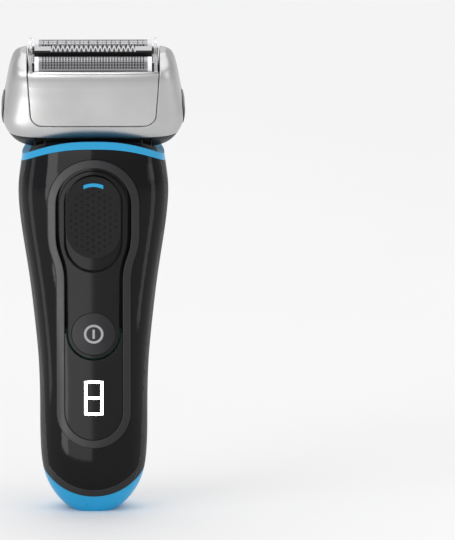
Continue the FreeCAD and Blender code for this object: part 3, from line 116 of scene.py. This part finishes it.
def ramp(nodes, links, source, low, high, start=0.3, stop=0.7):
    """A colour ramp between two values or colours."""
    node = nodes.new("ShaderNodeValToRGB")
    node.color_ramp.elements[0].position = start
    node.color_ramp.elements[1].position = stop
    for element, value in zip(node.color_ramp.elements, (low, high)):
        element.color = value if hasattr(value, "__len__") else (value, value, value, 1)
    links.new(source, node.inputs["Fac"])
    return node


def round_edges(nodes, links, shader, radius):
    """Shades the sharp edges as if they were slightly rounded."""
    edge = nodes.new("ShaderNodeBevel")
    edge.samples = 4
    edge.inputs["Radius"].default_value = radius
    links.new(edge.outputs["Normal"], shader.inputs["Normal"])


def add_bump(nodes, links, shader, height, strength, distance):
    """Bump from a height, on top of the rounded edges where there are any."""
    bump = nodes.new("ShaderNodeBump")
    if shader.inputs["Normal"].is_linked:
        links.new(shader.inputs["Normal"].links[0].from_socket, bump.inputs["Normal"])
    bump.inputs["Strength"].default_value = strength
    bump.inputs["Distance"].default_value = distance
    links.new(height, bump.inputs["Height"])
    links.new(bump.outputs["Normal"], shader.inputs["Normal"])


def plastic(name, colour, roughness, grain=0.0, spread=0.12, specular=0.5, edge=0.0):
    """Moulded plastic: slight colour and roughness variation and an optional fine grain."""
    material, nodes, links, shader = tree_of(name)
    drift = noise(nodes, links, DRIFT_SCALE)
    tint = ramp(nodes, links, drift.outputs["Fac"], shade(colour, 1 - spread), shade(colour, 1 + spread))
    links.new(tint.outputs["Color"], shader.inputs["Base Color"])
    wear = noise(nodes, links, WEAR_SCALE, 4)
    gloss = ramp(nodes, links, wear.outputs["Fac"], roughness * 0.9, min(1, roughness * 1.12))
    links.new(gloss.outputs["Color"], shader.inputs["Roughness"])
    shader.inputs["Specular IOR Level"].default_value = specular
    if edge:
        round_edges(nodes, links, shader, edge)
    if grain:
        skin = noise(nodes, links, GRAIN_SCALE, 2)
        add_bump(nodes, links, shader, skin.outputs["Fac"], grain, GRAIN_DEPTH)
    return material


def metal(name, colour, roughness, flake=0.0, streak=None, edge=0.0):
    """Metal or metallic lacquer: flake gives sparkle, streak gives a brushed direction."""
    material, nodes, links, shader = tree_of(name)
    shader.inputs["Metallic"].default_value = 1.0
    drift = noise(nodes, links, METAL_DRIFT_SCALE)
    tint = ramp(nodes, links, drift.outputs["Fac"], shade(colour, 0.95), shade(colour, 1.04))
    links.new(tint.outputs["Color"], shader.inputs["Base Color"])
    grain = noise(nodes, links, FLAKE_SCALE if streak is None else BRUSH_SCALE, 3)
    if streak is not None:
        stretch = nodes.new("ShaderNodeMapping")
        stretch.inputs["Scale"].default_value = streak
        place = nodes.new("ShaderNodeTexCoord")
        links.new(place.outputs["Object"], stretch.inputs["Vector"])
        links.new(stretch.outputs["Vector"], grain.inputs["Vector"])
    gloss = ramp(nodes, links, grain.outputs["Fac"], roughness * 0.85, roughness * 1.2)
    links.new(gloss.outputs["Color"], shader.inputs["Roughness"])
    if edge:
        round_edges(nodes, links, shader, edge)
    if flake:
        add_bump(nodes, links, shader, grain.outputs["Fac"], flake, FLAKE_DEPTH)
    return material


def dimple_plastic(name, colour, roughness, pitch, low, high):
    """Soft-touch plastic with a staggered grid of round dimples in an oval between two heights, with
    painted shade darkening the dimple floors.
    """
    material, nodes, links, shader = tree_of(name)
    shader.inputs["Roughness"].default_value = roughness
    shader.inputs["Specular IOR Level"].default_value = 0.25
    place = nodes.new("ShaderNodeTexCoord")
    split = nodes.new("ShaderNodeSeparateXYZ")
    links.new(place.outputs["Object"], split.inputs["Vector"])
    column = pitch * math.cos(math.radians(30))

    def math_node(kind, *values):
        node = nodes.new("ShaderNodeMath")
        node.operation = kind
        for socket, value in zip(node.inputs, values):
            if hasattr(value, "links"):
                links.new(value, socket)
            else:
                socket.default_value = value
        return node.outputs[0]

    def grid(shift_x, shift_z):
        """Distance to the nearest point of one grid; the other grid lies half a step away."""
        x = math_node("WRAP", math_node("ADD", split.outputs["X"], shift_x), column, -column)
        z = math_node("WRAP", math_node("ADD", split.outputs["Z"], shift_z), pitch / 2, -pitch / 2)
        squares = math_node("MULTIPLY", x, x), math_node("MULTIPLY", z, z)
        return math_node("SQRT", math_node("ADD", *squares))

    near = math_node("MINIMUM", grid(0.0, 0.0), grid(column, pitch / 2))
    dip = nodes.new("ShaderNodeMapRange")
    dip.inputs["From Min"].default_value = pitch * DIMPLE_FLOOR
    dip.inputs["From Max"].default_value = pitch * DIMPLE_RIM
    links.new(near, dip.inputs["Value"])
    middle_z, half_z = (low + high) / 2, (high - low) / 2
    rise = math_node("SUBTRACT", split.outputs["Z"], middle_z)
    across = math_node("POWER", math_node("DIVIDE", split.outputs["X"], DIMPLED_HALF_WIDTH), 2.0)
    along = math_node("POWER", math_node("DIVIDE", rise, half_z), 2.0)
    oval = math_node("SQRT", math_node("ADD", across, along))
    outside = math_node("GREATER_THAN", oval, 1.0)
    height = math_node("MAXIMUM", dip.outputs["Result"], outside)
    # painted shade: the dimple floors get a quarter of the plastic's colour, fading to full colour at
    # their rims
    tint = ramp(nodes, links, height, shade(colour, 0.25), shade(colour), 0.0, 1.0)
    links.new(tint.outputs["Color"], shader.inputs["Base Color"])
    add_bump(nodes, links, shader, height, 0.9, DIMPLE_DEPTH)
    return material


def glowing(name, colour, strength):
    """A lit segment of the display."""
    material, nodes, links, shader = tree_of(name)
    shader.inputs["Base Color"].default_value = shade(colour)
    drift = noise(nodes, links, 400, 1)
    glow = ramp(nodes, links, drift.outputs["Fac"], shade(colour, 0.9), shade(colour))
    links.new(glow.outputs["Color"], shader.inputs["Emission Color"])
    shader.inputs["Emission Strength"].default_value = strength
    return material


def clear(name):
    """Clear moulding of the foil's end guards."""
    material, nodes, links, shader = tree_of(name)
    shader.inputs["Roughness"].default_value = 0.08
    shader.inputs["Transmission Weight"].default_value = 0.75
    shader.inputs["IOR"].default_value = 1.45
    drift = noise(nodes, links, 80, 1)
    tint = ramp(nodes, links, drift.outputs["Fac"], (0.85, 0.87, 0.9, 1), (0.95, 0.96, 0.97, 1))
    links.new(tint.outputs["Color"], shader.inputs["Base Color"])
    return material


BLACK_GLOSS = plastic("black_gloss", (0.0025, 0.0025, 0.003), 0.07, specular=0.17, edge=EDGE_SMALL)
PANEL_GLOSS = plastic("panel_gloss", (0.0035, 0.0035, 0.004), 0.12, specular=0.19, edge=EDGE_SMALL)
BUTTON_BLACK = plastic("button_black", (0.009, 0.009, 0.010), 0.32, grain=0.1, specular=0.22,
                       edge=EDGE_SMALL)
SOFT_BLACK = plastic("soft_black", (0.014, 0.014, 0.015), 0.5, grain=0.2, specular=0.3)
INNER_BLACK = plastic("inner_black", (0.008, 0.008, 0.009), 0.4, grain=0.1, specular=0.3)
SATIN_GREY = plastic("satin_grey", (0.012, 0.012, 0.013), 0.32, grain=0.1, spread=0.05, specular=0.3,
                     edge=EDGE_LARGE)
BLUE = plastic("blue", (0.008, 0.370, 0.700), 0.3, spread=0.05, edge=EDGE_SMALL)
WHITE = plastic("white", (0.80, 0.80, 0.80), 0.35)
GREY_PRINT = plastic("grey_print", (0.42, 0.42, 0.43), 0.45)
BOARD = plastic("board", (0.02, 0.16, 0.07), 0.4)
CELL_WRAP = plastic("cell_wrap", (0.05, 0.25, 0.45), 0.3)
SILVER = metal("silver", (0.50, 0.50, 0.50), 0.34, flake=0.05, edge=EDGE_LARGE)
SILVER_SOFT = metal("silver_soft", (0.54, 0.54, 0.535), 0.34, flake=0.05, edge=EDGE_LARGE)
STEEL = metal("steel", (0.62, 0.62, 0.64), 0.22, streak=(1, 30, 30))
BRIGHT_STEEL = metal("bright_steel", (0.86, 0.86, 0.87), 0.16, streak=(1, 20, 20))
FOIL_METAL = metal("foil_metal", (0.33, 0.33, 0.34), 0.34)
DARK_STEEL = metal("dark_steel", (0.10, 0.10, 0.105), 0.35)
COPPER = metal("copper", (0.80, 0.38, 0.18), 0.3)
GOLD = metal("gold", (0.83, 0.65, 0.33), 0.25)
GLOW = glowing("glow", (1.0, 1.0, 1.0), 6.0)
CLEAR = clear("clear_guard")

FINISHES = {
    "front_housing": BLACK_GLOSS, "display_window": PANEL_GLOSS, "switch_plate": PANEL_GLOSS,
    "rear_housing": SOFT_BLACK, "control_bezel": SATIN_GREY, "base_trim": SATIN_GREY,
    "power_button": BUTTON_BLACK, "saddle_plate": INNER_BLACK, "head_underside": INNER_BLACK,
    "swivel_drum": INNER_BLACK, "trimmer_guard": INNER_BLACK, "cassette_frame": INNER_BLACK,
    "release_button_left": BUTTON_BLACK, "release_button_right": BUTTON_BLACK,
    "hair_trimmer_slide": BUTTON_BLACK, "neck_ring": BLUE, "base_cap": BLUE, "lock_marker": BLUE,
    "power_socket": INNER_BLACK, "chassis": INNER_BLACK, "lock_slider": INNER_BLACK,
    "lock_rocker": WHITE, "motor_frame": INNER_BLACK, "board_components": INNER_BLACK,
    "lock_bolt": WHITE, "front_foil_clips": WHITE, "rear_foil_clips": WHITE,
    "front_blades": DARK_STEEL, "rear_blades": DARK_STEEL,
    "charging_contacts": GOLD, "pivot_bushes": GOLD,
    "head_frame": SILVER, "cassette_front_panel": SILVER_SOFT, "cassette_rear_panel": SILVER_SOFT,
    "cassette_rim": SILVER_SOFT, "foil_end_guards": CLEAR, "display_segments": GLOW,
    "power_icon": GREY_PRINT, "battery": CELL_WRAP, "circuit_board": BOARD, "stator_coil": COPPER,
    "drive_seals": SOFT_BLACK, "trimmer_comb": BRIGHT_STEEL, "trimmer_blade": DARK_STEEL,
    "hair_trimmer_comb": BRIGHT_STEEL, "hair_trimmer_cutter": BRIGHT_STEEL,
}


def dress():
    """Gives every CAD node its finish; what isn't named above is plain steel."""
    pad_low, pad_high = (corner.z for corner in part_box("lock_pad"))
    pad = dimple_plastic("pad", (0.010, 0.010, 0.011), 0.45, DIMPLE_PITCH,
                         pad_low + DIMPLED_FROM_LOW, pad_high - DIMPLED_FROM_HIGH)
    for name, node in NODES.items():
        node.data.materials.clear()
        node.data.materials.append(pad if name == "lock_pad" else FINISHES.get(name, STEEL))


# ---- new pieces ----
def add_mesh(name, points, faces, material, body, *nodes):
    """A new piece from points and faces that rides on a body and stands for CAD nodes."""
    mesh = bpy.data.meshes.new(name)
    mesh.from_pydata(points, [], faces)
    mesh.materials.append(material)
    mesh.validate()
    piece = bpy.data.objects.new(name, mesh)
    bpy.context.scene.collection.objects.link(piece)
    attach(piece, body)
    if nodes:
        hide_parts(*nodes)
    return piece


def head_point(x, depth, rise):
    """A place in the head's own frame, leaned forward and lifted to the pivot."""
    return (x, depth * math.cos(HEAD_LEAN) - rise * math.sin(HEAD_LEAN),
            PIVOT_Z + depth * math.sin(HEAD_LEAN) + rise * math.cos(HEAD_LEAN))


def foil(name, body, node, depth):
    """Arched shaving foil with a hole in each cell of a grid, as one thin sheet."""
    arc = math.pi * FOIL_RADIUS
    leg = FOIL_SPRING - FOIL_FOOT
    length = arc + 2 * leg
    rows, columns = round(length / FOIL_CELL), round(2 * FOIL_HALF_LENGTH / FOIL_CELL)
    rim = [(0, 0), (0.5, 0), (1, 0), (1, 0.5), (1, 1), (0.5, 1), (0, 1), (0, 0.5)]

    def lay(across, along_x):
        """Point of the sheet at a distance across it from its front foot."""
        if across < leg:
            return head_point(along_x, depth - FOIL_RADIUS, FOIL_FOOT + across)
        if across > leg + arc:
            return head_point(along_x, depth + FOIL_RADIUS, FOIL_SPRING - (across - leg - arc))
        turn = math.pi - (across - leg) / FOIL_RADIUS
        return head_point(along_x, depth + FOIL_RADIUS * math.cos(turn),
                          FOIL_SPRING + FOIL_RADIUS * math.sin(turn))

    points, faces, found = [], [], {}

    def vertex(across, along_x):
        """Number of the sheet's point at a place, shared by the cells that meet there."""
        key = (round(across, 7), round(along_x, 7))
        if key not in found:
            found[key] = len(points)
            points.append(lay(*key))
        return found[key]

    step_a, step_x = length / rows, 2 * FOIL_HALF_LENGTH / columns
    for row in range(rows):
        for column in range(columns):
            a0, x0 = row * step_a, -FOIL_HALF_LENGTH + column * step_x
            outer = [vertex(a0 + u * step_a, x0 + v * step_x) for u, v in rim]
            plain_row = row < FOIL_PLAIN_ROWS or row >= rows - FOIL_PLAIN_ROWS
            if plain_row or column in (0, columns - 1):
                faces.append(outer)
                continue
            inner = []
            for u, v in rim:
                swing = math.atan2(v - 0.5, u - 0.5)
                inner.append(vertex(a0 + (0.5 + FOIL_HOLE_ACROSS * math.cos(swing)) * step_a,
                                    x0 + (0.5 + FOIL_HOLE_ALONG * math.sin(swing)) * step_x))
            for k in range(len(rim)):
                after = (k + 1) % len(rim)
                faces.append((outer[k], outer[after], inner[after], inner[k]))
    piece = add_mesh(name, points, faces, FOIL_METAL, body, node)
    thick = piece.modifiers.new("thickness", "SOLIDIFY")
    thick.thickness = FOIL_THICKNESS
    thick.offset = 1.0


def comb():
    """Serpentine comb of the middle trimmer between its two plain ends."""
    points, faces = [], []

    def slab(outline):
        """Closed flat piece from an outline of (x, depth) corners."""
        first, count = len(points), len(outline)
        points.extend(head_point(x, depth, COMB_LOW) for x, depth in outline)
        points.extend(head_point(x, depth, COMB_HIGH) for x, depth in outline)
        faces.append([first + k for k in reversed(range(count))])
        faces.append([first + count + k for k in range(count)])
        for k in range(count):
            after = (k + 1) % count
            faces.append([first + k, first + after, first + count + after, first + count + k])

    half, wire = COMB_PITCH / 2, COMB_WIRE / 2
    for side in (-1, 1):
        left, right = sorted((side * COMB_TEETH * COMB_PITCH, side * COMB_HALF_LENGTH))
        slab([(left, -COMB_BAR), (right, -COMB_BAR), (right, COMB_BAR), (left, COMB_BAR)])
    for step in range(-2 * COMB_TEETH, 2 * COMB_TEETH):
        front, rear = step * half, (step + 1) * half
        if step % 2:
            front, rear = rear, front
        slab([(front - wire, -COMB_REACH), (front + wire, -COMB_REACH),
              (rear + wire, COMB_REACH), (rear - wire, COMB_REACH)])
    piece = add_mesh("comb_mesh", points, faces, BRIGHT_STEEL, "middle_trimmer", "trimmer_comb")
    bevel = piece.modifiers.new("edges", "BEVEL")
    bevel.width = COMB_ROUNDING
    bevel.segments = 1
    bevel.limit_method = "ANGLE"


def creased_panel():
    """The cassette's front panel with the shallow fold across it, under the foil."""
    mesh = NODES["cassette_front_panel"].data.copy()
    mesh.name = "panel_mesh"
    up = Vector((0, -math.sin(HEAD_LEAN), math.cos(HEAD_LEAN)))
    back = Vector((0, math.cos(HEAD_LEAN), math.sin(HEAD_LEAN)))
    pivot = Vector((0, 0, PIVOT_Z))
    shape = bmesh.new()
    shape.from_mesh(mesh)
    bmesh.ops.remove_doubles(shape, verts=shape.verts, dist=WELD)
    bmesh.ops.bisect_plane(shape, geom=shape.verts[:] + shape.edges[:] + shape.faces[:], dist=WELD,
                           plane_co=pivot + up * CREASE_RISE, plane_no=up)
    for vertex in shape.verts:
        rise = (vertex.co - pivot).dot(up) - CREASE_RISE
        if rise > ON_FOLD:
            vertex.co += back * rise * math.tan(math.radians(CREASE_ANGLE))
    for edge in shape.edges:
        on_fold = all(abs((v.co - pivot).dot(up) - CREASE_RISE) < ON_FOLD for v in edge.verts)
        bent = len(edge.link_faces) == 2 and edge.calc_face_angle(0.0) > math.radians(SHARP_ANGLE)
        edge.smooth = not (on_fold or bent)
    for face in shape.faces:
        face.smooth = True
    shape.to_mesh(mesh)
    shape.free()
    if mesh.attributes.get("custom_normal"):
        mesh.attributes.remove(mesh.attributes["custom_normal"])
    mesh.materials.clear()
    mesh.materials.append(SILVER_SOFT)
    piece = bpy.data.objects.new("panel_mesh", mesh)
    bpy.context.scene.collection.objects.link(piece)
    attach(piece, "cassette")
    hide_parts("cassette_front_panel")


# ---- camera, light and floor ----
def camera():
    """A long lens in front of the shaver, turned a little to the right of it."""
    lift = math.radians(CAMERA_ELEVATION)
    up = Vector((0, math.sin(lift), math.cos(lift)))
    back = Vector((0, -math.cos(lift), math.sin(lift)))
    place = up * AIM_UP + back * CAMERA_DISTANCE
    aim = up * AIM_UP + Vector((AIM_RIGHT, 0, 0))
    data = bpy.data.cameras.new("camera")
    data.sensor_width = 36.0
    data.lens = data.sensor_width * CAMERA_DISTANCE / VIEW_HEIGHT
    data.clip_start, data.clip_end = 0.01, 50.0
    view = bpy.data.objects.new("camera", data)
    view.location = place
    view.rotation_euler = (aim - place).to_track_quat("-Z", "Y").to_euler()
    bpy.context.scene.collection.objects.link(view)
    bpy.context.scene.camera = view


def receivers(name, *nodes):
    """A collection of the CAD nodes that a panel lights."""
    group = bpy.data.collections.new(name)
    for node in nodes:
        group.objects.link(NODES[node])
    return group


def softbox(name, place, aim, size, power, only=None):
    """A rectangular lamp that lights and reflects, but isn't seen by the camera itself."""
    data = bpy.data.lights.new(name, "AREA")
    data.shape = "RECTANGLE"
    data.size, data.size_y = size
    data.energy = power
    light = bpy.data.objects.new(name, data)
    light.location = place
    light.rotation_euler = (Vector(aim) - Vector(place)).to_track_quat("-Z", "Y").to_euler()
    light.visible_camera = False
    if only:
        light.light_linking.receiver_collection = only
    bpy.context.scene.collection.objects.link(light)


def lamps():
    """Soft light from above and the left, with low panels that the glossy handle mirrors."""
    softbox("top", (0.0, 0.9, 2.6), (0, 0.8, 0), (3.6, 3.2), 40)
    softbox("key_left", (-0.60, -0.45, 0.55), HANDLE_MIDDLE, (0.5, 0.5), 1.6)
    softbox("fill_right", (0.70, -0.30, 0.40), HANDLE_MIDDLE, (0.3, 0.6), 0.6)
    gloss = receivers("gloss", "front_housing", "display_window", "switch_plate", "power_button",
                      "control_bezel", "rear_housing", "base_trim")
    for name, x, width, power in (("mirror_far_left", -0.045, 0.022, 0.06),
                                  ("mirror_left", -0.0175, 0.033, 0.035)):
        softbox(name, (x, MIRROR_FRONT, MIRROR_RISE), (x, 0, MIRROR_RISE), (width, MIRROR_HEIGHT), power,
                only=gloss)
    softbox("mirror_edge", (-0.14, -0.03, 0.09), (0, -0.01, 0.09), (0.03, 0.18), 0.03, only=gloss)
    satin = receivers("satin", "head_frame", "cassette_rear_panel", "cassette_rim", "front_foil_clips")
    satin.objects.link(bpy.data.objects["panel_mesh"])
    softbox("head_left", (-0.12, -0.16, 0.02), HEAD_MIDDLE, (0.10, 0.12), 0.10, only=satin)
    softbox("head_above", (-0.10, -0.25, 0.45), HEAD_MIDDLE, (0.10, 0.25), 0.6, only=satin)
    softbox("mirror_right", (0.15, -0.06, 0.10), (0, 0, 0.10), (0.03, 0.18), 0.03, only=gloss)


def surroundings():
    """An even light grey backdrop."""
    bpy.context.scene.view_settings.view_transform = "Standard"
    world = bpy.data.worlds.new("studio")
    world.use_nodes = True
    backdrop = world.node_tree.nodes["Background"]
    backdrop.inputs["Color"].default_value = BACKDROP_COLOUR
    backdrop.inputs["Strength"].default_value = BACKDROP_STRENGTH
    bpy.context.scene.world = world


def ground():
    """The white table top under the shaver."""
    material, nodes, links, shader = tree_of("floor_paint")
    tint = ramp(nodes, links, noise(nodes, links, 3, 2).outputs["Fac"], FLOOR_DARK, FLOOR_LIGHT)
    links.new(tint.outputs["Color"], shader.inputs["Base Color"])
    shader.inputs["Roughness"].default_value = 0.6
    mesh = bpy.data.meshes.new("floor")
    half = FLOOR_SIZE / 2
    corners = [(-half, -half, 0), (half, -half, 0), (half, half, 0), (-half, half, 0)]
    mesh.from_pydata(corners, [], [(0, 1, 2, 3)])
    mesh.materials.append(material)
    floor = bpy.data.objects.new("floor", mesh)
    bpy.context.scene.collection.objects.link(floor)


camera()
dress()
foil("front_foil_mesh", "front_foil", "front_foil", -FOIL_DEPTH)
foil("rear_foil_mesh", "rear_foil", "rear_foil", FOIL_DEPTH)
comb()
creased_panel()
lamps()
surroundings()
ground()
